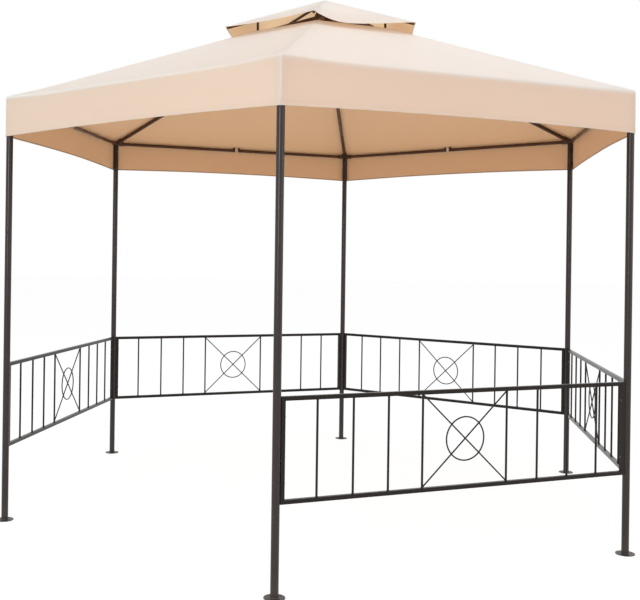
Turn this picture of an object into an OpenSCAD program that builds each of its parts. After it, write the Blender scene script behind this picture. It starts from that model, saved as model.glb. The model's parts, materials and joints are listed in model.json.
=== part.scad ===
// Hexagonal garden gazebo: tube posts on foot plates, five railing panels and one open side,
// a pitched fabric canopy with a valance, and a raised vent cap over the top of it.
// Millimetres, +Z up. The ground is Z = 0, the plan's centre is the origin, the open side faces -Y.

/* [Plan] */
// Distance between the axes of two neighbouring posts, also the radius of the circle they stand on
side = 1600; // [1400:10:1900]
// Play between two pieces that plug, bolt or tie together
fit_gap = 0.3; // [0.1:0.1:0.6]

/* [Posts] */
// Outside diameter of a post tube, and of the ball of a corner joint
post_d = 31; // [26:1:36]
// Wall of a post tube
post_wall = 1.2; // [1:0.1:2]
// Diameter of a foot plate
foot_d = 80; // [74:1:110]
// Thickness of a foot plate
foot_t = 3; // [2:0.5:6]
// Anchor holes in one foot plate
foot_holes = 4; // [3:1:6]
// Diameter of an anchor hole
foot_hole_d = 8; // [5:0.5:10]
// Diameter of the circle through the centres of the anchor holes
foot_hole_circle = 56; // [52:1:62]

/* [Corner joints] */
// Depth of the spigot that plugs into the post
spigot_l = 70; // [40:1:120]
// Wall of the rafter socket and of the beam sockets
socket_wall = 2.8; // [1.5:0.1:3.5]
// Distance from the ball's centre to the mouth of a socket
socket_l = 50; // [40:1:80]
// Distance from the ball's centre to the end of the tube inside a socket
socket_stop = 22; // [21:1:26]

/* [Eave beams] */
// Height of the beam axes above the ground
beam_z = 1947; // [1800:1:2200]
// Outside diameter of a beam tube
beam_d = 19; // [14:1:20]
// Wall of a beam tube
beam_wall = 1.2; // [0.8:0.1:2]
// Length of the plate that splices the two halves of a beam
splice_l = 50; // [36:1:80]
// Thickness of a splice plate
splice_t = 2.5; // [1.5:0.1:4]
// Height of a splice plate above the top of its beam
splice_rise = 7; // [3:1:8]

/* [Rafters and hub] */
// Pitch of the rafters, measured along the hips
roof_pitch = 19.6; // [12:0.1:30]
// Wall of a rafter tube
rafter_wall = 1.2; // [0.8:0.1:2]
// Width of the roof hub across its flats
hub_flats = 90; // [80:1:130]
// Height of the roof hub
hub_h = 50; // [40:1:70]
// Wall of the roof hub and thickness of its top plate
hub_wall = 4; // [3:0.5:8]

/* [Vent] */
// Distance from the centre to the corners of the vent ring
vent_r = 375; // [300:5:450]
// Diameter of a bar of the vent ring
vent_bar_d = 16; // [10:1:18]
// How far the canopy's top hem lies outside the vent ring, along the hips
vent_hem = 12; // [10:1:30]

/* [Vent cap] */
// Height of the cap rafter axes above the rafter axes, at the vent ring
cap_lift = 73; // [50:0.5:90]
// Pitch of the cap rafters, measured along the hips
cap_pitch = 19.5; // [12:0.5:28]
// Distance from the centre to the corners of the cap
cap_r = 552; // [480:1:600]
// Distance from a cap corner to the end of its rafter, along the hips
cap_end = 12; // [6:1:30]
// Diameter of a cap rafter
cap_bar_d = 13; // [8:1:14]
// Diameter of a strut between a rafter and its cap rafter
strut_d = 12; // [6:1:14]
// Width of the cap hub across its flats
cap_hub_flats = 50; // [40:1:60]
// Height of the cap hub
cap_hub_h = 18; // [12:1:22]
// Diameter of the stem between the two hubs
stem_d = 20; // [14:1:30]
// How far the free edge of a cap gore sags at its middle
cap_sag = 24; // [8:1:34]

/* [Canopy] */
// Thickness of the canopy panels
canopy_t = 2; // [1:0.5:4]
// Depth of the valance below the eave fold
valance_h = 176; // [100:1:260]
// How far the valance's lower edge rises at mid span
valance_arch = 12; // [4:1:30]
// Gap between two panels at a sewn seam
seam_gap = 0.3; // [0.1:0.1:0.6]
// Width of a tie strap
tie_w = 18; // [10:1:30]
// Thickness of a tie strap
tie_t = 1.5; // [1:0.1:3]

/* [Railings] */
// Height of the top of a railing above the ground
rail_top = 730; // [650:1:900]
// Height of a railing panel
rail_h = 392; // [320:1:480]
// Side of the square tube of the railing frame
rail_tube = 16; // [12:1:20]
// Diameter of a baluster
baluster_d = 9; // [6:1:12]
// Spacing of the balusters outside the middle field
baluster_step = 148.5; // [120:0.5:160]
// Width of the middle field between its two balusters
field_w = 385; // [320:1:420]
// Diameter of the cross and ring bars of the middle field
cross_d = 6; // [4:0.5:8]
// Distance of each cross bar from the panel's middle plane
cross_shift = 1; // [0.8:0.1:1.4]
// Outside diameter of the ring
ring_d = 177; // [140:1:220]

/* [Hidden] */
$fn = 64;
CORNERS = ["front_left", "front_right", "right", "back_right", "back_left", "left"];
SIDES = ["front", "front_right", "back_right", "back", "back_left", "front_left"];
LAST = len(SIDES) - 1;
FIRST_RAILED = 1;
turn = 360 / len(SIDES);
half_turn = turn / 2;
first_corner = -120;
first_side = first_corner + half_turn;
far = 4 * side;

coat = [0.2, 0.18, 0.17];
fitting_coat = [0.16, 0.14, 0.13];
cloth = [0.93, 0.88, 0.82];
shaded_cloth = [0.9, 0.82, 0.74];
webbing = [0.72, 0.58, 0.46];

post_bore = post_d - 2 * post_wall;
spigot_d = post_bore - 2 * fit_gap;
rafter_d = spigot_d - 2 * socket_wall - 2 * fit_gap;
beam_socket_d = beam_d + 2 * fit_gap + 2 * socket_wall;
post_top = beam_z - beam_socket_d / 2 - fit_gap;

apothem = side * cos(half_turn);
fold_a = apothem + post_d / 2 + fit_gap;
fold_r = fold_a / cos(half_turn);
hip_lift = (post_d / 2 + fit_gap) / cos(roof_pitch);
eave_z = rafter_z(fold_r) + hip_lift;
panel_slope = tan(roof_pitch) / cos(half_turn);
vent_a = (vent_r + vent_hem) * cos(half_turn);
canopy_rise = canopy_t * sqrt(1 + panel_slope * panel_slope);

splice_in = beam_d / 2 + fit_gap + splice_t;
tie_in = splice_in + fit_gap;
tie_out = beam_d / 2 + fit_gap;

hub_z = rafter_z(hub_flats / 2);
cap_hub_r = cap_hub_flats / 2;
cap_hub_top = cap_bar_z(cap_hub_r) + cap_bar_d / 4;
cap_under = cap_bar_z(0) + (cap_bar_d / 2 + fit_gap) / cos(cap_pitch);
cap_slope = tan(cap_pitch) / cos(half_turn);
cap_rise = canopy_t * sqrt(1 + cap_slope * cap_slope);
cap_a = cap_r * cos(half_turn);
seam_cut = seam_gap / 2 / cos(half_turn);

gore_rows = 8;
gore_cols = 12;
arch_steps = 12;

panel_half = side / 2 - post_d / 2 - fit_gap;
rail_mid = rail_top - rail_h / 2;
field_h = rail_h - 2 * rail_tube;
cross_l = sqrt(field_w * field_w + field_h * field_h);
cross_angle = atan(field_w / field_h);

// Height of a rafter's axis at a distance r from the centre, along its hip
function rafter_z(r) = beam_z + (side - r) * tan(roof_pitch);

// Height of a cap rafter's axis at a distance r from the centre, along its hip
function cap_bar_z(r) = rafter_z(vent_r) + cap_lift + (vent_r - r) * tan(cap_pitch);

// Height of the underside of a roof panel at a distance a from the centre, square to its eave
function roof_under(a) = eave_z + (fold_a - a) * panel_slope;

// Half the width of a panel at a distance a from the centre, less what the seam takes
function half_width(a) = a * tan(half_turn) - seam_cut;

module at_corner(i) {
    rotate([0, 0, first_corner + turn * i]) children();
}

module at_side(i) {
    rotate([0, 0, first_side + turn * i]) children();
}

module at_all_corners() {
    for (i = [0 : LAST]) at_corner(i) children();
}

module at_all_sides() {
    for (i = [0 : LAST]) at_side(i) children();
}

// Plan wedge between two hips, its edges drawn in by cut along the eave
module wedge(cut) {
    w = far * tan(half_turn);
    linear_extrude(height = far) polygon([[cut / tan(half_turn), 0], [far, w - cut], [far, cut - w]]);
}

// Tube that starts on the axis of a corner, turned up by pitch towards the centre
module sloped_tube(d, wall, start, length, pitch) {
    rotate([0, pitch - 90, 0]) translate([0, 0, start]) difference() {
        cylinder(d = d, h = length);
        if (wall > 0) translate([0, 0, -length]) cylinder(d = d - 2 * wall, h = 3 * length);
    }
}

// Everything farther than r from the centre, on the outer side of a corner or a side
module outside_of(r) {
    translate([r, -far / 2, 0]) cube([far, far, far]);
}

module post() {
    color(coat) translate([side, 0, foot_t]) difference() {
        cylinder(d = post_d, h = post_top - foot_t);
        translate([0, 0, -post_top]) cylinder(d = post_bore, h = 3 * post_top);
    }
}

module foot_plates() {
    color(coat) at_all_corners() translate([side, 0, 0]) difference() {
        cylinder(d = foot_d, h = foot_t);
        for (k = [0 : foot_holes - 1]) rotate([0, 0, 360 / foot_holes * (k + 0.5)])
            translate([foot_hole_circle / 2, 0, -foot_t]) cylinder(d = foot_hole_d, h = 3 * foot_t);
    }
}

// Direction from a corner along one of its two beams, as a bar that starts on the ball's centre
module along_beam(way) {
    rotate([0, 0, way * (90 + half_turn)]) rotate([0, 90, 0]) children();
}

module corner_joint() {
    stub_l = spigot_l + beam_socket_d / 2;
    difference() {
        union() {
            sphere(d = post_d);
            translate([0, 0, -stub_l]) cylinder(d = spigot_d, h = stub_l);
            sloped_tube(spigot_d, 0, 0, socket_l, roof_pitch);
            for (way = [-1, 1]) along_beam(way) cylinder(d = beam_socket_d, h = socket_l);
        }
        sloped_tube(rafter_d + 2 * fit_gap, 0, socket_stop - fit_gap, socket_l, roof_pitch);
        for (way = [-1, 1]) along_beam(way)
            translate([0, 0, socket_stop - fit_gap]) cylinder(d = beam_d + 2 * fit_gap, h = socket_l);
    }
}

module corner_joints() {
    color(fitting_coat) at_all_corners() translate([side, 0, beam_z]) corner_joint();
}

module rafter() {
    length = side / cos(roof_pitch);
    color(coat) intersection() {
        translate([side, 0, beam_z]) sloped_tube(rafter_d, rafter_wall, socket_stop, length, roof_pitch);
        outside_of(hub_flats / 2 + fit_gap);
    }
}

module half_beam() {
    length = side / 2 - socket_stop - fit_gap;
    translate([0, fit_gap, 0]) rotate([-90, 0, 0]) difference() {
        cylinder(d = beam_d, h = length);
        translate([0, 0, -length]) cylinder(d = beam_d - 2 * beam_wall, h = 3 * length);
    }
}

module beam() {
    color(coat) translate([apothem, 0, beam_z]) {
        half_beam();
        mirror([0, 1, 0]) half_beam();
    }
}

module splice_plates() {
    color(fitting_coat) at_all_sides()
        translate([apothem - splice_in, -splice_l / 2, beam_z - beam_d / 2])
            cube([splice_t, splice_l, beam_d + splice_rise]);
}

// Cross-section of a tie strap: its inner outline, grown outwards by t on every side
module tie_outline(t) {
    low = beam_z - beam_d / 2 - fit_gap - t;
    gap = (fit_gap + tie_t - t) * canopy_rise / canopy_t;
    polygon([
        [apothem - tie_in - t, low],
        [apothem + tie_out + t, low],
        [apothem + tie_out + t, roof_under(apothem + tie_out + t) - gap],
        [apothem - tie_in - t, roof_under(apothem - tie_in - t) - gap]
    ]);
}

module canopy_ties() {
    color(webbing) at_all_sides()
        rotate([90, 0, 0]) translate([0, 0, -tie_w / 2]) linear_extrude(height = tie_w) difference() {
            tie_outline(tie_t);
            tie_outline(0);
        }
}

module ring() {
    rotate([0, 90, 0]) rotate_extrude()
        translate([(ring_d - cross_d) / 2, 0]) circle(d = cross_d);
}

module cross_bar(way) {
    rotate([way * cross_angle, 0, 0]) translate([way * cross_shift, 0, -cross_l / 2])
        cylinder(d = cross_d, h = cross_l);
}

module balusters() {
    for (way = [-1, 1], y = [field_w / 2 : baluster_step : panel_half - rail_tube - baluster_d])
        translate([0, way * y, -rail_h / 2 + rail_tube / 2])
            cylinder(d = baluster_d, h = rail_h - rail_tube);
}

module railing_frame() {
    difference() {
        translate([-rail_tube / 2, -panel_half, -rail_h / 2]) cube([rail_tube, 2 * panel_half, rail_h]);
        translate([-rail_tube, -panel_half + rail_tube, -field_h / 2])
            cube([2 * rail_tube, 2 * (panel_half - rail_tube), field_h]);
    }
}

module railing() {
    color(coat) translate([apothem, 0, rail_mid]) {
        railing_frame();
        balusters();
        for (way = [-1, 1]) cross_bar(way);
        ring();
    }
}

// Hexagonal prism whose flats face the rafters
module hex_prism(flats, h) {
    rotate([0, 0, half_turn]) cylinder(d = flats / cos(half_turn), h = h, $fn = len(SIDES));
}

module roof_hub() {
    color(fitting_coat) translate([0, 0, hub_z - hub_h / 2]) difference() {
        hex_prism(hub_flats, hub_h);
        translate([0, 0, -hub_wall]) hex_prism(hub_flats - 2 * hub_wall, hub_h);
    }
}

module vent_ring() {
    length = 2 * vent_r;
    color(coat) at_all_sides() intersection() {
        translate([vent_r * cos(half_turn), -length / 2, rafter_z(vent_r)])
            rotate([-90, 0, 0]) cylinder(d = vent_bar_d, h = length);
        wedge((rafter_d / 2 + fit_gap) / cos(half_turn));
    }
}

module cap_struts() {
    color(coat) at_all_corners() difference() {
        translate([vent_r, 0, rafter_z(vent_r)]) cylinder(d = strut_d, h = cap_lift);
        translate([vent_r, 0, rafter_z(vent_r)])
            sloped_tube(rafter_d + 2 * fit_gap, 0, -strut_d, 2 * strut_d, roof_pitch);
        translate([vent_r, 0, cap_bar_z(vent_r)])
            sloped_tube(cap_bar_d + 2 * fit_gap, 0, -strut_d, 2 * strut_d, cap_pitch);
    }
}

module cap_rafters() {
    end_r = cap_r - cap_end;
    length = cap_r / cos(cap_pitch);
    color(coat) at_all_corners() intersection() {
        translate([end_r, 0, cap_bar_z(end_r)]) sloped_tube(cap_bar_d, 0, 0, length, cap_pitch);
        outside_of(cap_hub_r + fit_gap);
    }
}

module cap_hub() {
    stem_z = hub_z + hub_h / 2;
    color(fitting_coat) {
        translate([0, 0, cap_hub_top - cap_hub_h]) hex_prism(cap_hub_flats, cap_hub_h);
        translate([0, 0, stem_z]) cylinder(d = stem_d, h = cap_hub_top - cap_hub_h / 2 - stem_z);
    }
}

module roof_panel() {
    edge_a = fold_a + canopy_t;
    color(cloth) intersection() {
        rotate([90, 0, 0]) translate([0, 0, -far / 2]) linear_extrude(height = far) polygon([
            [edge_a, roof_under(edge_a)],
            [edge_a, roof_under(edge_a) + canopy_rise],
            [vent_a, roof_under(vent_a) + canopy_rise],
            [vent_a, roof_under(vent_a)]
        ]);
        wedge(seam_cut);
    }
}

module valance() {
    top = roof_under(fold_a + canopy_t) - seam_gap;
    low = eave_z - valance_h;
    end = half_width(fold_a + canopy_t);
    color(shaded_cloth) intersection() {
        translate([fold_a, 0, 0]) rotate([90, 0, 90]) linear_extrude(height = canopy_t) polygon(concat(
            [[end, top], [-end, top]],
            [for (k = [0 : arch_steps])
                let (s = 2 * k / arch_steps - 1) [s * end, low + valance_arch * (1 - s * s)]]
        ));
        wedge(seam_cut);
    }
}

// Point of a sagging cap gore: u runs from the peak to the free edge, v across it from -1 to 1
function gore_point(u, v, lift) = let (a = u * cap_a)
    [a, v * half_width(a), cap_under - a * cap_slope - cap_sag * u * u * (1 - v * v) + lift];

// The grid of one face of a gore, row by row from near the peak to the free edge
function gore_grid(lift) = [for (i = [1 : gore_rows], j = [0 : gore_cols])
    gore_point(i / gore_rows, 2 * j / gore_cols - 1, lift)];

module cap_gore() {
    n = gore_cols + 1;
    m = gore_rows * n;
    peak_a = seam_cut / tan(half_turn);
    peak_z = cap_under - peak_a * cap_slope;
    peak = [[peak_a, 0, peak_z], [peak_a, 0, peak_z + cap_rise]];
    last = m - n;
    cells = [for (i = [0 : gore_rows - 2], j = [0 : gore_cols - 1]) i * n + j];
    polyhedron(
        points = concat(gore_grid(0), gore_grid(cap_rise), peak),
        faces = concat(
            [for (k = cells) [k, k + 1, k + n]],
            [for (k = cells) [k + 1, k + n + 1, k + n]],
            [for (k = cells) [m + k, m + k + n, m + k + 1]],
            [for (k = cells) [m + k + 1, m + k + n, m + k + n + 1]],
            [for (j = [0 : gore_cols - 1]) [2 * m, j + 1, j]],
            [for (j = [0 : gore_cols - 1]) [2 * m + 1, m + j, m + j + 1]],
            [for (j = [0 : gore_cols - 1]) [last + j, last + j + 1, m + last + j + 1]],
            [for (j = [0 : gore_cols - 1]) [last + j, m + last + j + 1, m + last + j]],
            [for (i = [0 : gore_rows - 2], e = [0, gore_cols])
                let (a = i * n + e, b = a + n) e == 0 ? [a, b, m + b] : [a, m + b, b]],
            [for (i = [0 : gore_rows - 2], e = [0, gore_cols])
                let (a = i * n + e, b = a + n) e == 0 ? [a, m + b, m + a] : [a, m + a, m + b]],
            [[2 * m, 0, m], [2 * m, m, 2 * m + 1]],
            [[2 * m, m + gore_cols, gore_cols], [2 * m, 2 * m + 1, m + gore_cols]]
        )
    );
}

module cap_panels() {
    color(cloth) at_all_sides() cap_gore();
}

for (i = [0 : LAST]) {
    at_corner(i) post();
    at_corner(i) rafter();
    at_side(i) beam();
    at_side(i) roof_panel();
    at_side(i) valance();
}
for (i = [FIRST_RAILED : LAST]) {
    at_side(i) railing();
}
foot_plates();
corner_joints();
splice_plates();
canopy_ties();
roof_hub();
vent_ring();
cap_struts();
cap_rafters();
cap_hub();
cap_panels();
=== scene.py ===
"""Dresses a hexagonal garden gazebo: sewn canopy, vent cap, straps, fasteners, finishes and a studio.

Metres throughout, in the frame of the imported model: +Z up, the open side faces -Y.
"""

import json
import logging
import math
from dataclasses import dataclass, field
from enum import Enum

import bmesh
import bpy
import numpy as np
from mathutils import Matrix, Vector


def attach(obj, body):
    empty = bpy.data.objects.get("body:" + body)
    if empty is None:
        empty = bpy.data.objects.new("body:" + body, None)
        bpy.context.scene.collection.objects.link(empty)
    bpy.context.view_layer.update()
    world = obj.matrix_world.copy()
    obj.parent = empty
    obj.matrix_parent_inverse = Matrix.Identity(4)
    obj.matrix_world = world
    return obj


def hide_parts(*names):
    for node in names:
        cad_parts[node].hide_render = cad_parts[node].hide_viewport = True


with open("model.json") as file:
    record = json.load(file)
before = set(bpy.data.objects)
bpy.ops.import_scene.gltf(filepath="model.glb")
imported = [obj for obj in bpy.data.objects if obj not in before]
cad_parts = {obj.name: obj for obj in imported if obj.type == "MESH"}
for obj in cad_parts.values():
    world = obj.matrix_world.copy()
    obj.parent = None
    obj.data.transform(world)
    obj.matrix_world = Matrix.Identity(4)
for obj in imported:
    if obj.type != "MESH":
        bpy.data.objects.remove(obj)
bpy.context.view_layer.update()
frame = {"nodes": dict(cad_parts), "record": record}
LOG = logging.getLogger("gazebo")

Array = np.ndarray
Material = bpy.types.Material
Object = bpy.types.Object
Value = "Sock | float"
Colour = tuple[float, float, float, float]

CORNERS = ("front_left", "front_right", "right", "back_right", "back_left", "left")
SIDES = ("front", "front_right", "back_right", "back", "back_left", "front_left")
ROOF_BARS = ("_rafter", "_beam", "_joints", "_hub", "splice_plates", "vent_ring", "cap_struts", "cap_rafters")
BODY = "root"
UV_STEP = 2.0
ALONG_START = 3.0
UP = np.array([0.0, 0.0, 1.0])
QUARTERS = ((-1, -1), (-1, 1), (1, -1), (1, 1))
COS_30, SIN_30, TAN_30 = (turn(math.radians(30)) for turn in (math.cos, math.sin, math.tan))
WHITE = (1.0, 1.0, 1.0, 1.0)


class Slot(Enum):
    """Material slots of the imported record."""

    FRAME = "frame"
    RAILINGS = "railings"
    FITTINGS = "fittings"
    CANOPY = "canopy"
    STRAP = "strap"


class Face(Enum):
    """The two faces of the canopy cloth."""

    OUTSIDE = 0
    LINING = 1


def srgb(*rgb: int) -> Colour:
    """Turns a screen colour, 0 to 255, into the linear colour that a shader takes."""
    c = np.array(rgb) / 255
    return (*np.where(c <= 0.04045, c / 12.92, ((c + 0.055) / 1.055) ** 2.4).tolist(), 1.0)


# Shader maths


class Sock:
    """A socket of a shader tree that takes part in Python arithmetic."""

    def __init__(self, tree: bpy.types.NodeTree, socket: bpy.types.NodeSocket) -> None:
        """Wraps a socket of a tree."""
        self.tree = tree
        self.socket = socket

    def math(self, operation: str, *values: Value, first: bool = True) -> "Sock":
        """Adds a Math node.

        Args:
            operation: The Math node's operation.
            values: The other operands.
            first: Whether this socket is the first operand or the last.

        Returns:
            The node's result.
        """
        node = self.tree.nodes.new("ShaderNodeMath")
        node.operation = operation
        operands = (self, *values) if first else (*values, self)
        for k, v in enumerate(operands):
            if isinstance(v, Sock):
                self.tree.links.new(v.socket, node.inputs[k])
            else:
                node.inputs[k].default_value = float(v)
        return Sock(self.tree, node.outputs[0])

    def __add__(self, other: Value) -> "Sock":
        """Sum."""
        return self.math("ADD", other)

    __radd__ = __add__

    def __sub__(self, other: Value) -> "Sock":
        """Difference."""
        return self.math("SUBTRACT", other)

    def __rsub__(self, other: Value) -> "Sock":
        """Difference with this socket taken away."""
        return self.math("SUBTRACT", other, first=False)

    def __mul__(self, other: Value) -> "Sock":
        """Product."""
        return self.math("MULTIPLY", other)

    __rmul__ = __mul__

    def __truediv__(self, other: Value) -> "Sock":
        """Quotient."""
        return self.math("DIVIDE", other)

    def __lt__(self, other: Value) -> "Sock":
        """1 where this socket is below the other, else 0."""
        return self.math("LESS_THAN", other)

    def __abs__(self) -> "Sock":
        """Absolute value."""
        return self.math("ABSOLUTE")

    def bump_at(self, centre: float, half: float) -> "Sock":
        """A hump, 1 at a centre and 0 beyond a half width from it."""
        return (1 - abs(self - centre) / half).math("MAXIMUM", 0.0)


class Shader:
    """A material or a world under construction."""

    def __init__(self, name: str, world: bool = False) -> None:
        """Starts with an empty tree.

        Args:
            name: The name of the material or world.
            world: Whether it is a world.
        """
        self.owner = (bpy.data.worlds if world else bpy.data.materials).new(name)
        self.owner.use_nodes = True
        self.tree = self.owner.node_tree
        self.tree.nodes.clear()

    def node(self, kind: str, inputs: dict | None = None, out: int | str = 0, **settings: str) -> Sock:
        """Adds a node.

        Args:
            kind: The node's type.
            inputs: Values or sockets by input name or number.
            out: The output to return.
            settings: Properties of the node, set first.

        Returns:
            The chosen output.
        """
        node = self.tree.nodes.new(kind)
        for key, value in settings.items():
            setattr(node, key, value)
        for key, value in (inputs or {}).items():
            if isinstance(value, Sock):
                self.tree.links.new(value.socket, node.inputs[key])
            else:
                node.inputs[key].default_value = value
        return Sock(self.tree, node.outputs[out])

    def place(self) -> Sock:
        """Object coordinates."""
        return self.node("ShaderNodeTexCoord", out="Object")

    def attribute(self, name: str) -> Sock:
        """A number kept on the mesh under a name."""
        return self.node("ShaderNodeAttribute", out="Fac", attribute_name=name)

    def split(self, vector: Sock) -> tuple[Sock, Sock, Sock]:
        """The X, Y and Z of a vector."""
        return tuple(self.node("ShaderNodeSeparateXYZ", {0: vector}, k) for k in range(3))

    def noise(self, scale: float, detail: float = 2.0, vector: "Sock | None" = None) -> Sock:
        """Fractal noise from 0 to 1, in blotches per metre, at a vector or else at Object coordinates."""
        where = vector or self.place()
        return self.node("ShaderNodeTexNoise", {"Vector": where, "Scale": scale, "Detail": detail})

    def mix(self, share: Value, a: "Sock | Colour", b: "Sock | Colour") -> Sock:
        """Mixes two colours, with a share of the second."""
        return self.node("ShaderNodeMix", {0: share, 6: a, 7: b}, 2, data_type="RGBA")

    def bump(self, height: Sock, distance: float, strength: float = 1.0, below: "Sock | None" = None) -> Sock:
        """Turns a height, of which 1 is a distance in metres, into a normal, on top of one below if given."""
        inputs = {"Height": height, "Distance": distance, "Strength": strength}
        return self.node("ShaderNodeBump", inputs | ({"Normal": below} if below else {}))

    def finish(self, **inputs: "Sock | float | Colour") -> Material:
        """Adds the Principled shader, its inputs named with _ for a space, and the output."""
        named = {key.replace("_", " "): value for key, value in inputs.items()}
        return self.close(self.node("ShaderNodeBsdfPrincipled", named))

    def close(self, surface: Sock, kind: str = "ShaderNodeOutputMaterial") -> "Material | bpy.types.World":
        """Leads a shader to the output.

        Args:
            surface: The shader.
            kind: The output node's type.

        Returns:
            The finished material or world.
        """
        end = self.tree.nodes.new(kind)
        self.tree.links.new(surface.socket, end.inputs["Surface"])
        return self.owner


@dataclass(frozen=True)
class PowderCoat:
    """Satin powder coat on steel: fine orange peel, faint cloudiness and dust near the ground."""

    name: str = "powder_coat"
    colour: Colour = srgb(45, 36, 33)
    pale: Colour = srgb(54, 45, 42)
    dust: Colour = srgb(112, 104, 96)
    dust_h: float = 0.1
    dust_share: float = 0.3
    roughness: float = 0.27
    specular: float = 0.35
    peel: float = 0.00006

    def material(self) -> Material:
        """Builds the material.

        Returns:
            The material.
        """
        s = Shader(self.name)
        cloud = s.noise(9.0, 4.0)
        speck = s.noise(260.0, 3.0)
        height = s.split(s.place())[2]
        low = (1 - height / self.dust_h).math("MAXIMUM", 0.0)
        base = s.mix(cloud, self.colour, self.pale)
        return s.finish(
            Base_Color=s.mix(low * self.dust_share * speck, base, self.dust),
            Roughness=self.roughness + (cloud - 0.5) * 0.1 + low * 0.1,
            Specular_IOR_Level=self.specular,
            Normal=s.bump(s.noise(700.0), self.peel, 0.5),
        )


@dataclass(frozen=True)
class Zinc:
    """Blackened zinc plate of the bolts."""

    name: str = "zinc_plate"
    colour: Colour = srgb(98, 93, 89)
    dull: Colour = srgb(66, 61, 58)

    def material(self) -> Material:
        """Builds the material.

        Returns:
            The material.
        """
        s = Shader(self.name)
        cloud = s.noise(320.0, 4.0)
        return s.finish(
            Base_Color=s.mix(cloud, self.colour, self.dull),
            Metallic=0.85,
            Roughness=0.3 + cloud * 0.2,
            Normal=s.bump(s.noise(1500.0), 0.0001, 0.5),
        )


@dataclass(frozen=True)
class Polyester:
    """Coated plain-weave polyester that lets some light through, sewn where the mesh says.

    hem, seam and eave are a point's distances from those lines, and along runs beside the nearest of
    them, all kept on the mesh in metres; a further number, about 1 on the roof's top and along the seams,
    says where the cloth is painted paler: a painted highlight of the light that falls there.
    """

    name: str
    colour: Colour
    shade: Colour
    # The paler colour that painted light mixes in.
    painted_light_colour: Colour
    thread: Colour
    edge: Colour
    glow: Colour
    edge_w: float
    sheer: float
    sheen: float
    roughness: float
    pitch: float = 0.0012
    stitch: float = 0.0045
    stitch_share: float = 0.68
    hem_row: float = 0.0175
    seam_row: float = 0.0055
    seam_show: float = 0.25
    row_w: float = 0.0012
    pucker_w: float = 0.03
    eave_pucker_w: float = 0.024
    weave_h: float = 0.0004
    pucker_h: float = 0.0022
    row_h: float = 0.0009
    painted_light_level: float = 0.82
    painted_light_spread: float = 0.35

    def material(self) -> Material:
        """Builds the material.

        Returns:
            The material.
        """
        s = Shader(self.name)
        uv = s.node("ShaderNodeUVMap", uv_map="cloth")
        u, v, _ = s.split(uv)
        turn = 2 * math.pi / self.pitch
        weave = (u * turn).math("SINE") * (v * turn).math("SINE") * 0.5 + 0.5
        threads = ((9.0, 420.0, 1.0), (420.0, 9.0, 1.0))
        ways = [s.node("ShaderNodeMapping", {"Vector": uv, "Scale": scale}) for scale in threads]
        slub = sum(s.noise(1.0, 3.0, way) for way in ways)
        cloud = s.noise(1.6, 3.0)
        hem, seam, eave = (s.attribute(name) for name in ("hem", "seam", "eave"))
        seam_rows = seam.bump_at(self.seam_row, self.row_w) * self.seam_show
        rows = hem.bump_at(self.hem_row, self.row_w) + seam_rows + eave.bump_at(0.0, self.row_w)
        near = hem.bump_at(self.hem_row, self.pucker_w) + eave.bump_at(0.0, self.eave_pucker_w)
        dash = (s.attribute("along") / self.stitch).math("FRACT") < self.stitch_share
        stitch = (rows * dash).math("MINIMUM", 1.0)
        tone = (cloud - 0.5) * 0.5 + (slub - 1.0) * 0.55 + (weave - 0.5) * 0.16 + 0.42
        cloth = s.mix(tone.math("MINIMUM", 1.0).math("MAXIMUM", 0.0), self.colour, self.shade)
        # Painted light: the roof's top and the seams are mixed towards a paler colour, a painted highlight
        # where light falls.
        painted_light_mask = s.attribute("painted_light_share") * (self.painted_light_level + (cloud - 0.5) * self.painted_light_spread)
        painted_light_cloth = s.mix(painted_light_mask.math("MINIMUM", 1.0), cloth, self.painted_light_colour)
        # Painted light along the lower hem's edge: a painted highlight on the outside, a painted shadow on
        # the lining.
        painted_hem_edge_light = s.mix((hem < self.edge_w) * 0.8, painted_light_cloth, self.edge)
        sewn = s.mix(stitch * 0.6, painted_hem_edge_light, self.thread)
        relief = s.bump(weave * 0.5 + slub * 0.35, self.weave_h, 0.55)
        pucker = s.bump(s.noise(75.0) * near, self.pucker_h, 0.6, relief)
        normal = s.bump(1 - rows * (0.45 + 0.55 * (1 - dash)), self.row_h, 0.8, pucker)
        face = s.node(
            "ShaderNodeBsdfPrincipled",
            {
                "Base Color": sewn,
                "Roughness": self.roughness + (slub - 1.0) * 0.12,
                "Specular IOR Level": 0.5,
                "Sheen Weight": self.sheen,
                "Sheen Roughness": 0.35,
                "Normal": normal,
            },
        )
        through = s.node("ShaderNodeBsdfTranslucent", {"Color": self.glow})
        return s.close(s.node("ShaderNodeMixShader", {0: self.sheer, 1: face, 2: through}))


@dataclass(frozen=True)
class Webbing:
    """Woven strap: ribs in a herringbone across its width."""

    name: str = "webbing"
    colour: Colour = srgb(240, 210, 186)
    shade: Colour = srgb(214, 178, 152)
    rib: float = 0.0018
    chevron: float = 0.006

    def material(self) -> Material:
        """Builds the material.

        Returns:
            The material.
        """
        s = Shader(self.name)
        u, v, _ = s.split(s.node("ShaderNodeUVMap", uv_map="cloth"))
        lean = abs((v / self.chevron).math("FRACT") - 0.5) * self.chevron
        ribs = ((u + lean) * (2 * math.pi / self.rib)).math("SINE") * 0.5 + 0.5
        wear = s.noise(120.0, 3.0)
        return s.finish(
            Base_Color=s.mix(ribs * 0.45 + wear * 0.4, self.shade, self.colour),
            Roughness=0.75,
            Specular_IOR_Level=0.3,
            Normal=s.bump(ribs, 0.0004, 0.8),
        )


# Mesh arrays


@dataclass
class Patch:
    """Arrays of one surface: points, four-sided faces, and what the cloth shader reads."""

    points: Array
    quads: Array
    uv: Array | None = None
    values: dict[str, Array] = field(default_factory=dict)


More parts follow.
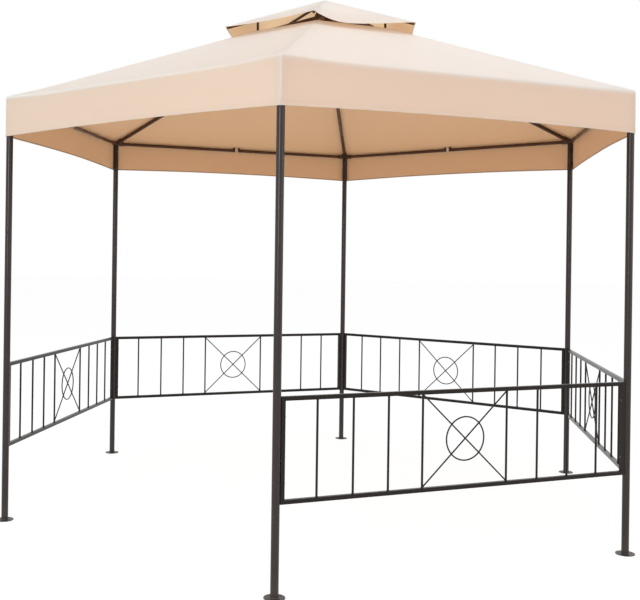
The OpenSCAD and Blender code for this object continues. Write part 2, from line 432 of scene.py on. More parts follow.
def grid_quads(rows: int, cols: int, closed: bool = False) -> Array:
    """Faces of a grid of points, row by row.

    Args:
        rows: Rows of points.
        cols: Points in a row.
        closed: Whether the last point of a row joins its first.

    Returns:
        One row of four point numbers per face.
    """
    n = cols if closed else cols - 1
    i, j = np.meshgrid(np.arange(rows - 1), np.arange(n), indexing="ij")
    a = i * cols + j
    b = i * cols + (j + 1) % cols
    return np.stack([a, b, b + cols, a + cols], axis=-1).reshape(-1, 4)


def spin(profile: Array, steps: int) -> Patch:
    """Turns a profile of (radius, height) round Z: point = (r cos a, r sin a, z).

    Args:
        profile: Radii and heights, from the bottom to the top.
        steps: Points in a turn.

    Returns:
        The surface of revolution, closed where the radius is 0.
    """
    a = np.arange(steps) * 2 * np.pi / steps
    ring = np.stack([np.cos(a), np.sin(a), np.zeros(steps)], axis=-1)
    points = profile[:, None, :1] * ring[None] + profile[:, None, 1:] * UP
    return Patch(points.reshape(-1, 3), grid_quads(len(profile), steps, True))


def placed(patch: Patch, places: list[Array]) -> Patch:
    """Copies a patch to many places.

    Args:
        patch: The patch.
        places: One 4 by 4 matrix per copy.

    Returns:
        All copies as one patch.
    """
    m = np.array(places)
    points = np.einsum("kij,nj->kni", m[:, :3, :3], patch.points) + m[:, None, :3, 3]
    quads = patch.quads[None] + (np.arange(len(m)) * len(patch.points))[:, None, None]
    return Patch(points.reshape(-1, 3), quads.reshape(-1, 4))


def pose(origin: Array, axis: Array) -> Array:
    """A 4 by 4 matrix that puts Z along an axis at an origin.

    Args:
        origin: Where the origin goes.
        axis: Where Z points.

    Returns:
        The matrix.
    """
    z = axis / np.linalg.norm(axis)
    hint = np.array([1.0, 0, 0]) if abs(z[0]) < 0.8 else np.array([0, 1.0, 0])
    x = hint - z * (hint @ z)
    x = x / np.linalg.norm(x)
    m = np.eye(4)
    m[:3, 0], m[:3, 1], m[:3, 2], m[:3, 3] = x, np.cross(z, x), z, origin
    return m


def piece(
    name: str, patches: list[Patch], materials: list[Material]
) -> Object:
    """Makes one object of some patches and lets it ride on the gazebo.

    Args:
        name: The object's name.
        patches: Its surfaces.
        materials: Its materials, the first one on every face.

    Returns:
        The object.
    """
    starts = np.cumsum([0] + [len(p.points) for p in patches])
    points = np.concatenate([p.points for p in patches])
    quads = np.concatenate([p.quads + s for p, s in zip(patches, starts)])
    mesh = bpy.data.meshes.new(name)
    mesh.from_pydata(points.tolist(), [], quads.tolist())
    if patches[0].uv is not None:
        uv = np.concatenate([p.uv for p in patches])[quads.ravel()]
        mesh.uv_layers.new(name="cloth").data.foreach_set("uv", uv.astype(np.float32).ravel())
    for key in patches[0].values:
        values = np.concatenate([p.values[key].ravel() for p in patches])
        mesh.attributes.new(key, "FLOAT", "POINT").data.foreach_set("value", values.astype(np.float32))
    work = bmesh.new()
    work.from_mesh(mesh)
    bmesh.ops.remove_doubles(work, verts=work.verts, dist=2e-6)
    bmesh.ops.recalc_face_normals(work, faces=work.faces)
    work.to_mesh(mesh)
    work.free()
    mesh.shade_smooth()
    for m in materials:
        mesh.materials.append(m)
    obj = linked(bpy.data.objects.new(name, mesh))
    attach(obj, BODY)
    return obj


def linked(obj: Object) -> Object:
    """Links an object to the scene."""
    bpy.context.scene.collection.objects.link(obj)
    return obj


def smooth_noise(x: Array, y: Array, seed: int, scale: float, waves: int = 9) -> Array:
    """A sum of plane waves with seeded directions and phases, about -1 to 1.

    Args:
        x: First coordinate.
        y: Second coordinate.
        seed: Which noise.
        scale: The waves' usual angular frequency, per metre.
        waves: How many waves are summed.

    Returns:
        The noise at each point.
    """
    rng = np.random.default_rng(seed)
    angle = rng.uniform(0, 2 * np.pi, waves)
    size = scale * rng.uniform(0.5, 1.8, waves)
    phase = rng.uniform(0, 2 * np.pi, waves)
    arg = x[..., None] * (size * np.cos(angle)) + y[..., None] * (size * np.sin(angle)) + phase
    return np.sin(arg).sum(-1) / math.sqrt(waves) / 1.4


def ease(x: Array) -> Array:
    """A smooth step from 0 to 1 as x goes from 0 to 1."""
    x = np.clip(x, 0, 1)
    return x * x * (3 - 2 * x)


def across(width: Array, count: int, edges: Array) -> Array:
    """Places across a panel: even in the middle, at fixed distances from its two seams.

    Args:
        width: Half the panel's width at each row.
        count: Places between the innermost fixed ones, those included.
        edges: Distances from a seam, from 0 up; they shrink where the panel is narrow.

    Returns:
        Distances from the panel's middle line, one row per width.
    """
    fit = np.minimum(1.0, width / (4 * edges[-1]))[:, None]
    inner = (width[:, None] - fit * edges[-1]) * np.linspace(-1, 1, count)
    near = width[:, None] - fit * edges[:-1]
    return np.concatenate([-near, inner, near[:, ::-1]], axis=1)


# The gazebo


@dataclass(frozen=True)
class Plan:
    """Sizes that the solids were made to, in metres and radians."""

    side: float = 1.6
    gap: float = 0.0003
    post_d: float = 0.031
    foot_t: float = 0.003
    beam_z: float = 1.947
    beam_d: float = 0.019
    beam_socket_d: float = 0.0252
    rafter_socket_d: float = 0.028
    splice_t: float = 0.0025
    pitch: float = math.radians(19.6)
    vent_r: float = 0.375
    vent_hem: float = 0.012
    cap_lift: float = 0.073
    cap_pitch: float = math.radians(19.5)
    cap_r: float = 0.552
    cap_bar_d: float = 0.013
    cloth_t: float = 0.002
    valance_h: float = 0.176
    valance_arch: float = 0.012
    rail_mid: float = 0.534
    rail_h: float = 0.392
    rail_tube: float = 0.016
    baluster_d: float = 0.009
    baluster_step: float = 0.1485
    balusters: int = 4
    field_w: float = 0.385
    cross_d: float = 0.006
    ring_d: float = 0.177

    @property
    def apothem(self) -> float:
        """Distance from the centre to the line between two posts."""
        return self.side * COS_30

    @property
    def fold_a(self) -> float:
        """Distance from the centre to the inside of the valance."""
        return self.apothem + self.post_d / 2 + self.gap

    @property
    def slope(self) -> float:
        """Rise of a roof panel per metre, square to its eave."""
        return math.tan(self.pitch) / COS_30

    @property
    def eave_z(self) -> float:
        """Height of the inside of the eave fold."""
        lift = (self.post_d / 2 + self.gap) / math.cos(self.pitch)
        return self.rafter_z(self.fold_a / COS_30) + lift

    @property
    def splice_in(self) -> float:
        """Distance from a beam's axis to the inner face of its splice plate."""
        return self.beam_d / 2 + self.gap + self.splice_t

    @property
    def vent_a(self) -> float:
        """Distance from the centre to the canopy's top hem, square to its eave."""
        return (self.vent_r + self.vent_hem) * COS_30

    @property
    def cap_a(self) -> float:
        """Distance from the centre to the cap's free edge."""
        return self.cap_r * COS_30

    @property
    def cap_slope(self) -> float:
        """Fall of a cap gore per metre, square to its edge."""
        return math.tan(self.cap_pitch) / COS_30

    @property
    def cap_under(self) -> float:
        """Height of the underside of the cap's peak."""
        axis = self.rafter_z(self.vent_r) + self.cap_lift + self.vent_r * math.tan(self.cap_pitch)
        return axis + (self.cap_bar_d / 2 + self.gap) / math.cos(self.cap_pitch)

    def rafter_z(self, r: float) -> float:
        """Height of a rafter's axis at a distance r from the centre."""
        return self.beam_z + (self.side - r) * math.tan(self.pitch)

    def roof_under(self, a: float) -> float:
        """Height of the underside of a roof panel at a distance a from the centre."""
        return self.eave_z + (self.fold_a - a) * self.slope

    def corner(self, i: int) -> Array:
        """Unit vector from the centre to a corner."""
        a = math.radians(-120 + 60 * i)
        return np.array([math.cos(a), math.sin(a), 0.0])

    def facing(self, i: int) -> tuple[Array, Array]:
        """Unit vectors out of a side and along it."""
        a = math.radians(-90 + 60 * i)
        return np.array([math.cos(a), math.sin(a), 0.0]), np.array([-math.sin(a), math.cos(a), 0.0])


PLAN = Plan()


@dataclass
class SewnSheet:
    """A sheet of six like panels round the centre, with felled seams between them and doubled hems."""

    plan: Plan = PLAN
    columns: int = 71
    thickness: float = 0.0016
    hem_w: float = 0.0185
    hem_lift: float = 0.0007
    seam_w: float = 0.0075
    ridge: float = 0.0002
    step_w: float = 0.005
    seam_zone: float = 0.015
    hem_zone: float = 0.03
    wave_seed: int = 11
    edges: Array = field(default_factory=lambda: np.array([0, 2, 4, 6.5, 8.5, 10.5, 13, 18]) / 1000)
    hems: Array = field(default_factory=lambda: np.array([0, 3.5, 11, 18.5, 21.5, 26]) / 1000)

    def side_patch(self, i: int) -> Patch:
        """One panel of the sheet, as arrays."""
        raise NotImplementedError

    def doubled(self, distance: Array, width: float) -> Array:
        """1 within a width of a line and 0 from a step farther on."""
        return ease((width + self.step_w - distance) / self.step_w)

    def laid(
        self, i: int, place: tuple[Array, ...], flat: tuple[Array, Array], values: dict[str, Array]
    ) -> Patch:
        """Stands a panel on its side of the hexagon.

        Args:
            i: The side's number.
            place: Distances out of the side and along it, and heights.
            flat: Places across the panel and lengths from its lower edge, for the weave.
            values: What the shader reads at each point.

        Returns:
            The patch.
        """
        out, along = self.plan.facing(i)
        a, x, z = (part[..., None] for part in place)
        points = a * out + x * along + z * UP
        uv = np.stack([flat[0] + UV_STEP * i, flat[1]], axis=-1).reshape(-1, 2)
        return Patch(points.reshape(-1, 3), grid_quads(*flat[0].shape), uv, values)

    def sew(self, name: str, faces: dict[Face, Material]) -> Object:
        """Joins the panels to one sheet and gives it its thickness.

        Args:
            name: The sheet's name.
            faces: The finish of each face.

        Returns:
            The sheet.
        """
        patches = [self.side_patch(i) for i in range(len(SIDES))]
        obj = piece(name, patches, [faces[f] for f in Face])
        solid = obj.modifiers.new("cloth", "SOLIDIFY")
        solid.thickness = self.thickness
        solid.offset = -1
        solid.material_offset = Face.LINING.value
        return obj


@dataclass
class MainCanopy(SewnSheet):
    """The main canopy: six roof panels, a soft eave fold and a hanging valance, as one sheet."""

    roof_rows: int = 44
    fold_rows: int = 8
    valance_rows: int = 18
    fold_radius: float = 0.013
    corner_radius: float = 0.012
    fold_rise: float = 0.004
    flat_eave: float = 0.02
    sag: float = 0.006
    wave: float = 0.0022
    wave_rate: float = 7.0
    billow: float = 0.0035
    billow_rate: float = 5.0
    billow_seed: int = 31
    tuck: float = 0.004
    tension: float = 0.0009
    fan_folds: int = 13
    fan_start: float = 0.12
    fan_reach: float = 0.3
    fan_rise: float = 0.05
    fan_clear: float = 0.03
    lift_w: float = 0.16
    lift_h: float = 0.12
    lifts: tuple[float, ...] = (0.009, 0.01, 0.002, 0.006, 0.006, 0.006)
    # A thin painted highlight along every seam: its strength and width.
    painted_seam_highlight: float = 0.7
    painted_seam_highlight_w: float = 0.005
    # Where the painted light starts below the eave fold and how fast it grows above it, in metres.
    painted_light_below: float = 0.014
    painted_light_band: float = 0.018
    eave_row: float = 0.008
    eave_zone: float = 0.012
    # How strongly painted light lightens the roof at each corner, grading each panel's brightness between
    # them.
    painted_light_levels: tuple[float, ...] = (1.2, 0.6, 1.35, 1.0, 1.0, 1.0)

    def profile(self) -> tuple[Array, Array, Array]:
        """The line from the top hem over the eave fold down to the hem.

        The roof is straight, the fold is an arc of fold_radius that is tangent to roof and valance,
        and the valance is vertical. Rows crowd at both hems.

        Returns:
            Distance from the centre, height, and length from the lower hem, at each row.
        """
        p = self.plan
        face = p.fold_a + p.cloth_t
        angle = math.atan(p.slope)
        peak = p.roof_under(face) + p.cloth_t / math.cos(angle)
        tangent = self.fold_radius * math.tan((math.pi / 2 - angle) / 2)
        start_a, start_z = face - tangent * math.cos(angle), peak + tangent * math.sin(angle)
        top_l = (start_a - p.vent_a) / math.cos(angle)
        down = np.concatenate([self.hems[:-1], np.linspace(self.hems[-1], top_l, self.roof_rows)])
        a_roof = p.vent_a + down * math.cos(angle)
        z_roof = start_z + (start_a - a_roof) * p.slope
        turn = np.linspace(math.pi / 2 - angle, 0, self.fold_rows + 1)[1:-1]
        a_fold = face - self.fold_radius * (1 - np.cos(turn))
        z_fold = peak - tangent + self.fold_radius * np.sin(turn)
        z_low = p.eave_z - p.valance_h
        hang = np.linspace(peak - tangent, z_low + self.hems[-1], self.valance_rows)
        z_hang = np.concatenate([hang, z_low + self.hems[-2::-1]])
        a = np.concatenate([a_roof, a_fold, np.full(len(z_hang), face)])
        z = np.concatenate([z_roof, z_fold, z_hang])
        step = np.hypot(np.diff(a), np.diff(z))
        return a, z, np.concatenate([np.cumsum(step[::-1])[::-1], [0.0]])

    def side_patch(self, i: int) -> Patch:
        """One sixth of the sheet.

        A point lies at distance a out of the side and y along it, y up to a tan 30, and s is y over
        that. The roof sags as (1 - s^2) times a hump along the slope, with slow waves, and with folds
        that fan out of its corners as the sine of the angle there; a smooth bell holds the corners up.
        The valance's hem rises as (1 - s^2), and waves that grow towards it push the cloth in and out.
        Corners are rounded by drawing the points near them in. Hems and seams stand proud by a smooth
        step.

        Args:
            i: The side's number.

        Returns:
            The patch.
        """
        p = self.plan
        a, z, length = self.profile()
        width = a * TAN_30
        Y = across(width, self.columns, self.edges)
        A, Z, L = (np.repeat(row[:, None], Y.shape[1], 1) for row in (a, z, length))
        S = Y / width[:, None]
        to_seam = width[:, None] - np.abs(Y)
        fold_l = p.valance_h - self.fold_rise
        roof = np.clip((L - fold_l - self.flat_eave) / (length[0] - fold_l - self.flat_eave), 0, 1)
        hang = np.clip(1 - L / (p.valance_h - 0.01), 0, 1)
        hump = np.sin(np.pi * roof) ** 0.8
        across_eave, up_slope = width.max() - np.abs(Y), L - fold_l
        reach = np.hypot(across_eave, up_slope)
        fan = np.sin(self.fan_folds * np.arctan2(up_slope, across_eave) + i)
        fan = fan * ease(reach / self.fan_start) * np.exp(-((reach / self.fan_reach) ** 2))
        Z = Z - self.sag * (1 - S**2) * hump
        lift = np.where(Y < 0, self.lifts[i], self.lifts[(i + 1) % len(CORNERS)])
        Z = Z + lift * np.exp(-((across_eave / self.lift_w) ** 2)) * np.exp(-((up_slope / self.lift_h) ** 2))
        Z = Z + self.wave * smooth_noise(Y, L, self.wave_seed + i, self.wave_rate) * hump * (1 - S**4)
        Z = Z + self.tension * fan * ease(up_slope / self.fan_rise) * ease(to_seam / self.fan_clear)
        Z = Z + self.ridge * self.doubled(to_seam, self.seam_w) * ease(roof * 40)
        Z = Z + self.hem_lift * self.doubled(length[0] - L, self.hem_w)
        Z = Z + p.valance_arch * (1 - S**2) * hang
        push = self.billow * smooth_noise(Y, L * 0.35, self.billow_seed + i, self.billow_rate)
        A = A + push * hang * (1 - S**8) - self.tuck * hang**2 * (1 - S**2)
        A = A + self.hem_lift * self.doubled(L, self.hem_w)
        bend = self.corner_radius * np.where(roof > 0, 0.5, 1.0)
        pull = np.clip(1 - to_seam / (bend * TAN_30), 0, 1) ** 2 * bend * (1 / COS_30 - 1)
        A = A - pull * COS_30
        X = Y - np.sign(S) * pull * SIN_30
        hem, eave = np.minimum(L, length[0] - L), np.abs(L - fold_l + self.eave_row)
        by_seam = (to_seam < self.seam_zone) & (hem > self.hem_zone) & (eave > self.eave_zone)
        # A thin painted highlight along every seam, down the valance's corners.
        painted_seam_highlight = self.painted_seam_highlight * np.exp(-((to_seam / self.painted_seam_highlight_w) ** 2))
        # Painted light: the roof above the eave fold is painted paler, graded between the corners' levels.
        painted_light_level = (self.painted_light_levels[i] * (1 - S) + self.painted_light_levels[(i + 1) % len(CORNERS)] * (1 + S)) / 2
        values = {
            "hem": hem,
            "seam": np.where(roof > 0, to_seam, 1.0),
            "eave": eave,
            "along": np.where(by_seam, L, Y + ALONG_START),
            "painted_light_share": np.maximum(painted_light_level * ease((up_slope + self.painted_light_below) / self.painted_light_band), painted_seam_highlight),
        }
        return self.laid(i, (A, X, Z), (Y, L), values)

    def build(self, faces: dict[Face, Material], straps: Object) -> Object:
        """Makes the canopy.

        Args:
            faces: The finish of each face.
            straps: The tie straps that go with it; not used.

        Returns:
            The canopy.
        """
        obj = self.sew("main_canopy", faces)
        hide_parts(*[f"{s}_roof_panel" for s in SIDES], *[f"{s}_valance" for s in SIDES])
        return obj


@dataclass
class VentCap(SewnSheet):
    """The raised cap over the vent: six gores sewn to one sheet, slack along its free edges."""

    columns: int = 41
    rows: int = 34
    wave: float = 0.003
    wave_rate: float = 14.0
    wave_seed: int = 51
    flat_w: float = 0.02
    sags: tuple[float, ...] = (0.0095, 0.0395, 0.026, 0.022, 0.026, 0.02)
    skews: tuple[float, ...] = (0.0, 0.8, -0.3, 0.2, -0.2, 0.3)
    draws: tuple[float, ...] = (0.0, 0.0, 0.02, 0.012, 0.012, 0.004)
    # The whole cap is painted paler by this share: painted light from above.
    painted_light_level: float = 0.75

    def drop(self, v: Array, skew: float) -> Array:
        """Share of a gore's sag at a place v across it: (1 - v^2)(1 - skew v), scaled to a peak of 1."""
        w = np.linspace(-1, 1, 201)
        return (1 - v**2) * (1 - skew * v) / ((1 - w**2) * (1 - skew * w)).max()

    def side_patch(self, i: int) -> Patch:
        """One gore: it falls straight from the peak, and towards its free edge it sags and is drawn in.

        The sag grows with u^2.2 and the inward draw with u^4 (1 - v^2), u being 1 at the free edge.
        Over the bars the cloth stays flat, and a smooth step beside each seam starts the sag.

        Args:
            i: The side's number.

        Returns:
            The patch.
        """
        p = self.plan
        run = p.cap_a * math.sqrt(1 + p.cap_slope**2)
        length = np.concatenate([np.linspace(run, self.hems[-1], self.rows), self.hems[-2::-1]])
        u = 1 - length / run
        width = u * p.cap_a * TAN_30
        Y = across(width, self.columns, self.edges)
        U, L = (np.repeat(row[:, None], Y.shape[1], 1) for row in (u, length))
        V = np.clip(Y / np.maximum(width, 1e-9)[:, None], -1, 1)
        A = U * p.cap_a
        to_seam = width[:, None] - np.abs(Y)
        Z = p.cap_under + p.cloth_t * math.sqrt(1 + p.cap_slope**2) - A * p.cap_slope
        Z = Z - self.sags[i] * U**2.2 * self.drop(V, self.skews[i]) * ease(to_seam / self.flat_w)
        Z = Z + self.wave * smooth_noise(Y, A, self.wave_seed + i, self.wave_rate) * U**2 * (1 - V**4)
        Z = Z + self.ridge * self.doubled(to_seam, self.seam_w) * ease(U * 6)
        Z = Z + self.hem_lift * self.doubled(L, self.hem_w)
        A = A - self.draws[i] * U**4 * (1 - V**2)
        by_seam = (to_seam < self.seam_zone) & (L > self.hem_zone)
        values = {
            "hem": L,
            "seam": to_seam,
            "eave": np.ones_like(L),
            "along": np.where(by_seam, L, Y + ALONG_START),
            "painted_light_share": np.full_like(L, self.painted_light_level),
        }
        return self.laid(i, (A, Y, Z), (Y, L), values)

    def build(self, faces: dict[Face, Material]) -> Object:
        """Makes the cap.

        Args:
            faces: The finish of each face.

        Returns:
            The cap.
        """
        obj = self.sew("cap_canopy", faces)
        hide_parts("cap_panels")
        return obj


@dataclass
class TieStraps:
    """Webbing loops that hold the canopy to the middle of each eave beam, their ends lapped and sewn."""

    plan: Plan = PLAN
    width: float = 0.018
    thickness: float = 0.0015
    lap: float = 0.0012
    lap_from: float = 0.001
    lap_to: float = 0.03
    lap_step: float = 0.004
    bend: float = 0.002
    arc: int = 5
    cells: int = 8

    def outline(self) -> Array:
        """Middle line of a loop in its own plane, as (distance from the centre, height).

        Four corners follow the beam and splice plate and the roof above them; each is rounded by the
        curve (1 - t)^2 P + 2 t (1 - t) C + t^2 Q between points P and Q a bend away from it.

        Returns:
            The points of the closed line, without the first repeated.
        """
        p = self.plan
        t = self.thickness / 2
        inner = p.apothem - p.splice_in - p.gap - t
        outer = p.apothem + p.beam_d / 2 + p.gap + t
        low = p.beam_z - p.beam_d / 2 - p.gap - t
        drop = (p.gap + t) * math.sqrt(1 + p.slope**2)
        tops = [[a, p.roof_under(a) - drop] for a in (outer, inner)]
        corners = np.array([[inner, low], [outer, low], *tops])
        after, before = np.roll(corners, -1, 0) - corners, np.roll(corners, 1, 0) - corners
        first = corners + before / np.linalg.norm(before, axis=1)[:, None] * self.bend
        last = corners + after / np.linalg.norm(after, axis=1)[:, None] * self.bend
        k = np.linspace(0, 1, self.arc)[None, :, None]
        curves = (1 - k) ** 2 * first[:, None] + 2 * k * (1 - k) * corners[:, None] + k**2 * last[:, None]
        return curves.reshape(-1, 2)

    def loop(self, i: int) -> Patch:
        """One strap: a flat section swept round the outline, thicker where its ends lap.

        The section's half thickness is h (1 - |2 w / W|^6)^0.5 at a distance w from its middle.

        Args:
            i: The side's number.

        Returns:
            The patch.
        """
        line = self.outline()
        ahead = np.roll(line, -1, 0) - np.roll(line, 1, 0)
        normal = np.stack([ahead[:, 1], -ahead[:, 0]], axis=-1) / np.linalg.norm(ahead, axis=1)[:, None]
        step = np.linalg.norm(np.diff(line, axis=0, append=line[:1]), axis=1)
        run = np.concatenate([[0.0], np.cumsum(step)])
        w = np.linspace(-1, 1, self.cells + 1)
        rim = np.sqrt(np.clip(1 - np.abs(w) ** 6, 0, None))
        across_w = np.concatenate([w, w[-2:0:-1]]) * self.width / 2
        high = np.concatenate([rim, np.zeros(self.cells - 1)])
        deep = np.concatenate([np.zeros(self.cells + 1), rim[-2:0:-1]])
        begun, ended = run[:-1] - self.lap_from, self.lap_to - run[:-1]
        lapped = self.lap * ease(begun / self.lap_step) * ease(ended / self.lap_step)
        rise = high * (self.thickness / 2 + lapped[:, None]) - deep * self.thickness / 2
        closed = np.concatenate([np.arange(len(line)), [0]])
        place = line[closed, None, :] + normal[closed, None, :] * rise[closed, :, None]
        out, along = self.plan.facing(i)
        points = place[..., :1] * out + place[..., 1:] * UP + across_w[None, :, None] * along
        uv = np.stack(np.broadcast_arrays(run[:, None], across_w[None]), axis=-1).reshape(-1, 2)
        return Patch(points.reshape(-1, 3), grid_quads(len(closed), len(across_w), True), uv)

    def build(self, cloth: Material) -> Object:
        """Makes all straps.

        Args:
            cloth: The webbing.

        Returns:
            The straps.
        """
        obj = piece("tie_straps", [self.loop(i) for i in range(len(SIDES))], [cloth])
        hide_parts("canopy_ties")
        return obj


@dataclass
class Fasteners:
    """Dome-headed bolts where sockets, posts, splice plates and railing panels are fixed."""

    plan: Plan = PLAN
    head_r: float = 0.0054
    head_h: float = 0.0036
    bite: float = 0.0018
    socket_h: float = 0.0016
    steps: int = 12
    along_socket: float = 0.036
    below_top: float = 0.035
    splice_pitch: float = 0.034
    rail_pitch: float = 0.24

    def head(self) -> Patch:
        """One bolt head on Z: a skirt set into the metal, a dome r = R cos t, z = H sin t, a round socket.

        Returns:
            The head.
        """
        t = np.linspace(0, 1.15, 5)
        dome = np.stack([self.head_r * np.cos(t), self.head_h * np.sin(t)], axis=-1)
        rim_r, rim_z = dome[-1]
        skirt = [[0.0, -self.bite], [self.head_r, -self.bite]]
        floor_z = rim_z - self.socket_h
        socket = [[rim_r * 0.9, rim_z - 0.0002], [rim_r * 0.85, floor_z], [0.0, floor_z]]
        return spin(np.concatenate([skirt, dome, socket]), self.steps)

    def places(self, i: int) -> list[Array]:
        """Bolts of one corner and of the side after it.

        A corner has two through the rafter socket, one in each beam socket and one in the post. A side
        has two in the splice plate and four in the stiles of a railing panel.

        Args:
            i: The number of the corner and the side.

        Returns:
            Their matrices.
        """
        p = self.plan
        c = p.corner(i)
        ball, beside = c * p.side + UP * p.beam_z, np.cross(UP, c)
        socket = ball + self.along_socket * (UP * math.sin(p.pitch) - c * math.cos(p.pitch))
        found = [pose(socket + way * beside * p.rafter_socket_d / 2, way * beside) for way in (-1, 1)]
        for side, way in ((i, 1), (i - 1, -1)):
            out, along = p.facing(side)
            found.append(pose(ball + way * self.along_socket * along - out * p.beam_socket_d / 2, -out))
        post_top = p.beam_z - p.beam_socket_d / 2 - p.gap
        found.append(pose(c * (p.side - p.post_d / 2) + UP * (post_top - self.below_top), -c))
        out, along = p.facing(i)
        plate = out * (p.apothem - p.splice_in) + UP * p.beam_z
        found += [pose(plate + way * along * self.splice_pitch / 2, -out) for way in (-1, 1)]
        stile = p.side / 2 - p.post_d / 2 - p.gap - p.rail_tube
        for way, rise in QUARTERS if i > 0 else ():
            at = out * p.apothem + way * along * stile + UP * (p.rail_mid + rise * self.rail_pitch / 2)
            found.append(pose(at, -way * along))
        return found

    def build(self, metal: Material) -> Object:
        """Makes all bolts, plated with a metal."""
        places = [m for i in range(len(SIDES)) for m in self.places(i)]
        return piece("fasteners", [placed(self.head(), places)], [metal])


@dataclass
class Welds:
    """Weld beads at the feet of the posts and the ends of the balusters, and dots on the rings."""

    plan: Plan = PLAN
    foot_throat: float = 0.004
    bar_throat: float = 0.0022
    dot_r: float = 0.0042

    def bead(self, radius: float, throat: float, steps: int) -> Patch:
        """A bead round a bar on Z: its profile runs over the plate, up a hollow and onto the bar.

        Args:
            radius: The bar's radius.
            throat: The bead's width and height.
            steps: Points in a turn.

        Returns:
            The bead.
        """
        shape = [[0.92, -0.1], [1.0, 0.12], [0.62, 0.3], [0.3, 0.62], [0.12, 1.0], [-0.1, 0.92]]
        profile = np.array(shape) * throat + [radius, 0.0]
        return spin(np.concatenate([profile, profile[:1]]), steps)

    def feet(self) -> Patch:
        """Beads between posts and foot plates."""
        feet = [self.plan.corner(i) * self.plan.side + UP * self.plan.foot_t for i in range(len(CORNERS))]
        return placed(self.bead(self.plan.post_d / 2, self.foot_throat, 32), [pose(at, UP) for at in feet])

    def panel_places(self, i: int) -> tuple[list[Array], list[Array]]:
        """Beads at both ends of one panel's balusters, and dots where its ring crosses its two bars.

        Args:
            i: The side's number.

        Returns:
            The matrices of the beads and of the dots.
        """
        p = self.plan
        out, along = p.facing(i)
        inside = p.rail_h / 2 - p.rail_tube
        ends = []
        for k in range(p.balusters):
            for way, end in QUARTERS:
                y = way * (p.field_w / 2 + k * p.baluster_step)
                ends.append(pose(out * p.apothem + along * y + UP * (p.rail_mid + end * inside), -end * UP))
        lean = math.atan2(p.field_w, p.rail_h - 2 * p.rail_tube)
        r = (p.ring_d - p.cross_d) / 2
        middle = out * p.apothem + UP * p.rail_mid
        across_r, up_r = along * (r * math.sin(lean)), UP * (r * math.cos(lean))
        return ends, [pose(middle + y * across_r + z * up_r, out) for y, z in QUARTERS]

    def build(self, metal: Material, rail_metal: Material) -> list[Object]:
        """Makes the beads of posts and railings, and the dots.

        Args:
            metal: The powder coat of the posts.
            rail_metal: The powder coat of the railings.

        Returns:
            The two pieces.
        """
        t = np.linspace(-math.pi / 2, math.pi / 2, 6)
        ball = spin(self.dot_r * np.stack([np.cos(t), np.sin(t)], axis=-1), 10)
        ends, dots = (sum(found, []) for found in zip(*map(self.panel_places, range(1, len(SIDES)))))
        beads = placed(self.bead(self.plan.baluster_d / 2, self.bar_throat, 14), ends)
        return [
            piece("post_welds", [self.feet()], [metal]),
            piece("railing_welds", [beads, placed(ball, dots)], [rail_metal]),
        ]


@dataclass(frozen=True)
class Lamp:
    """A rectangular soft light that faces the gazebo; power in watts."""

    name: str
    place: tuple[float, float, float]
    size: tuple[float, float]
    power: float
    tint: tuple[float, float, float]
    aim_z: float = 1.4

    def hang(self) -> None:
        """Hangs the light in the scene."""
        data = bpy.data.lights.new(self.name, "AREA")
        data.shape = "RECTANGLE"
        data.size, data.size_y = self.size
        data.energy = self.power
        data.color = self.tint
        obj = linked(bpy.data.objects.new(self.name, data))
        obj.location = self.place
        aim = Vector((0, 0, self.aim_z)) - Vector(self.place)
        obj.rotation_euler = aim.to_track_quat("-Z", "Y").to_euler()


LAMPS = (
    Lamp("key", (2.0, -6.5, 2.4), (0.4, 2.2), 90.0, (1.0, 1.0, 1.0)),
    Lamp("left_fill", (-3.0, -5.0, 5.5), (3.0, 3.0), 82.0, (0.65, 1.0, 1.05)),
    Lamp("top", (0.7, -0.9, 6.5), (3.0, 3.0), 88.0, (0.94, 1.0, 1.07)),
    Lamp("right_fill", (6.5, 0.5, 3.0), (4.0, 4.0), 56.0, (1.0, 0.95, 0.9)),
    Lamp("back_fill", (3.5, 5.5, 3.2), (3.0, 3.0), 36.0, (1.0, 0.95, 0.9)),
)


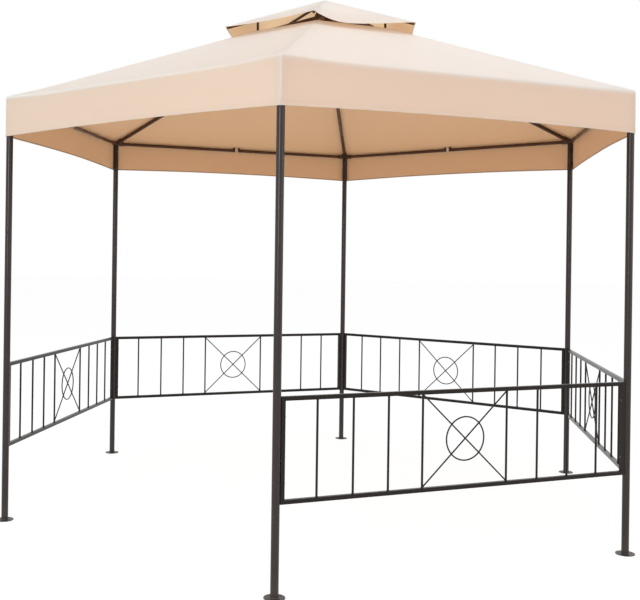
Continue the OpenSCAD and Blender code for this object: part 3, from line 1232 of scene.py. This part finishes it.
@dataclass
class Studio:
    """Pale floor, soft light, white background and the photograph's camera."""

    position: tuple[float, float, float] = (2.9375, -4.1170, 1.2197)
    yaw: float = 38.285
    roll: float = 0.775
    lens: float = 53.885
    shift: tuple[float, float] = (0.0706, -0.0605)
    sky: float = 0.52
    floor_glow: float = 1.16
    floor_share: float = 0.75
    floor_r: float = 60.0
    floor_z: float = -0.0005
    floor_sides: int = 48

    def camera(self) -> None:
        """Stands the camera where the photograph was taken."""
        data = bpy.data.cameras.new("camera")
        data.lens = self.lens
        data.sensor_width = 36.0
        data.shift_x, data.shift_y = self.shift
        data.clip_start, data.clip_end = 0.1, 200.0
        m = Matrix.Translation(self.position)
        for turn, axis in ((self.yaw, "Z"), (90.0, "X"), (self.roll, "Z")):
            m = m @ Matrix.Rotation(math.radians(turn), 4, axis)
        obj = linked(bpy.data.objects.new("camera", data))
        obj.matrix_world = m
        bpy.context.scene.camera = obj

    def seen(self, s: Shader) -> Sock:
        """1 for rays that come from the camera, directly or by a reflection or through glass, else 0."""
        kinds = ("Is Camera Ray", "Is Glossy Ray", "Is Transmission Ray")
        return sum(s.node("ShaderNodeLightPath", out=kind) for kind in kinds).math("MINIMUM", 1.0)

    def floor(self) -> None:
        """Lays a pale floor that looks nearly white and keeps the shadow."""
        s = Shader("pale_floor")
        plain = s.node("ShaderNodeBsdfDiffuse", {"Color": (0.9, 0.9, 0.9, 1.0)})
        white = s.node("ShaderNodeEmission", {"Color": WHITE, "Strength": self.floor_glow})
        share = self.seen(s) * self.floor_share
        mesh = bpy.data.meshes.new("floor")
        mesh.materials.append(s.close(s.node("ShaderNodeMixShader", {0: share, 1: plain, 2: white})))
        n = self.floor_sides
        a = np.arange(n) * 2 * np.pi / n
        ring = np.stack([np.cos(a), np.sin(a), np.zeros(n)], axis=-1) * self.floor_r + UP * self.floor_z
        mesh.from_pydata(ring.tolist(), [], [list(range(n))])
        obj = linked(bpy.data.objects.new("floor", mesh))

    def world(self) -> None:
        """Surrounds the scene with soft light that the camera sees as white."""
        s = Shader("studio", world=True)
        level = self.sky + self.seen(s) * (1 - self.sky)
        back = s.node("ShaderNodeBackground", {"Color": WHITE, "Strength": level})
        bpy.context.scene.world = s.close(back, "ShaderNodeOutputWorld")

    def build(self) -> None:
        """Sets up the whole studio."""
        self.camera()
        self.floor()
        self.world()
        for lamp in LAMPS:
            lamp.hang()
        bpy.context.scene.view_settings.view_transform = "Standard"


def dress_frame(coats: dict[Slot, Material], canopy_lit_bar_coat: Material) -> None:
    """Gives every carried-over metal node its powder coat.

    The bars under the canopy look browner than the posts, so they get a browner, paler copy of the coat:
    painted warm light that comes through the canopy.

    Args:
        coats: The powder coat of each slot.
        canopy_lit_bar_coat: The powder coat of the roof's bars.
    """
    slots = {part["node"]: Slot(part["material_slot"]) for part in frame["record"]["subparts"]}
    for name, obj in frame["nodes"].items():
        if slots.get(name) in coats:
            obj.data.materials.clear()
            obj.data.materials.append(canopy_lit_bar_coat if name.endswith(ROOF_BARS) else coats[slots[name]])
            LOG.info("dressed %s", name)


def cloth_faces(name: str, sheer: float, lining_sheer: float, lit: Colour) -> dict[Face, Material]:
    """The two faces of the canopy cloth: nearly white and coated outside, warmer inside.

    Args:
        name: What the finishes are named after.
        sheer: Share of light that the outer face lets through.
        lining_sheer: The same for the inner face.
        lit: Colour of the light that comes in through the lining.

    Returns:
        The finish of each face.
    """
    outside = Polyester(
        f"{name}_outside",
        colour=srgb(249, 227, 209),
        shade=srgb(245, 218, 198),
        painted_light_colour=srgb(254, 249, 244),
        thread=srgb(238, 212, 192),
        # A painted highlight along the hem's lower edge.
        edge=srgb(253, 236, 220),
        edge_w=0.004,
        glow=srgb(250, 237, 217),
        sheer=sheer,
        sheen=0.8,
        roughness=0.38,
    )
    lining = Polyester(
        f"{name}_lining",
        colour=srgb(243, 207, 171),
        shade=srgb(234, 195, 157),
        painted_light_colour=srgb(241, 200, 160),
        thread=srgb(205, 172, 142),
        # A painted shadow along the hem's lower edge, where it is in shade.
        edge=srgb(128, 98, 76),
        edge_w=0.007,
        glow=lit,
        sheer=lining_sheer,
        sheen=0.1,
        roughness=0.62,
    )
    return {Face.OUTSIDE: outside.material(), Face.LINING: lining.material()}


def main() -> None:
    """Builds the pieces in order and reports each."""
    logging.basicConfig(level=logging.INFO, format="%(name)s: %(message)s")
    Studio().build()
    LOG.info("studio ready")
    metal = PowderCoat().material()
    rail_metal = PowderCoat("railing_coat", srgb(24, 17, 13), srgb(33, 25, 20), specular=0.24).material()
    # The roof's bars: a browner, paler copy of the coat, painted warm light from under the canopy.
    canopy_lit_bar_metal = PowderCoat("canopy_lit_bar_coat", srgb(76, 49, 31), srgb(86, 58, 40), specular=0.2).material()
    dress_frame({Slot.FRAME: metal, Slot.FITTINGS: metal, Slot.RAILINGS: rail_metal}, canopy_lit_bar_metal)
    roof = cloth_faces("canopy", 0.25, 0.31, srgb(247, 219, 183))
    cap = cloth_faces("cap", 0.27, 0.8, srgb(252, 236, 214))
    straps = TieStraps().build(Webbing().material())
    sheets = [MainCanopy().build(roof, straps), VentCap().build(cap)]
    bolts = Fasteners().build(Zinc().material())
    for obj in [straps, *sheets, bolts, *Welds().build(metal, rail_metal)]:
        LOG.info("built %s with %d faces", obj.name, len(obj.data.polygons))


if __name__ == "__main__":
    main()
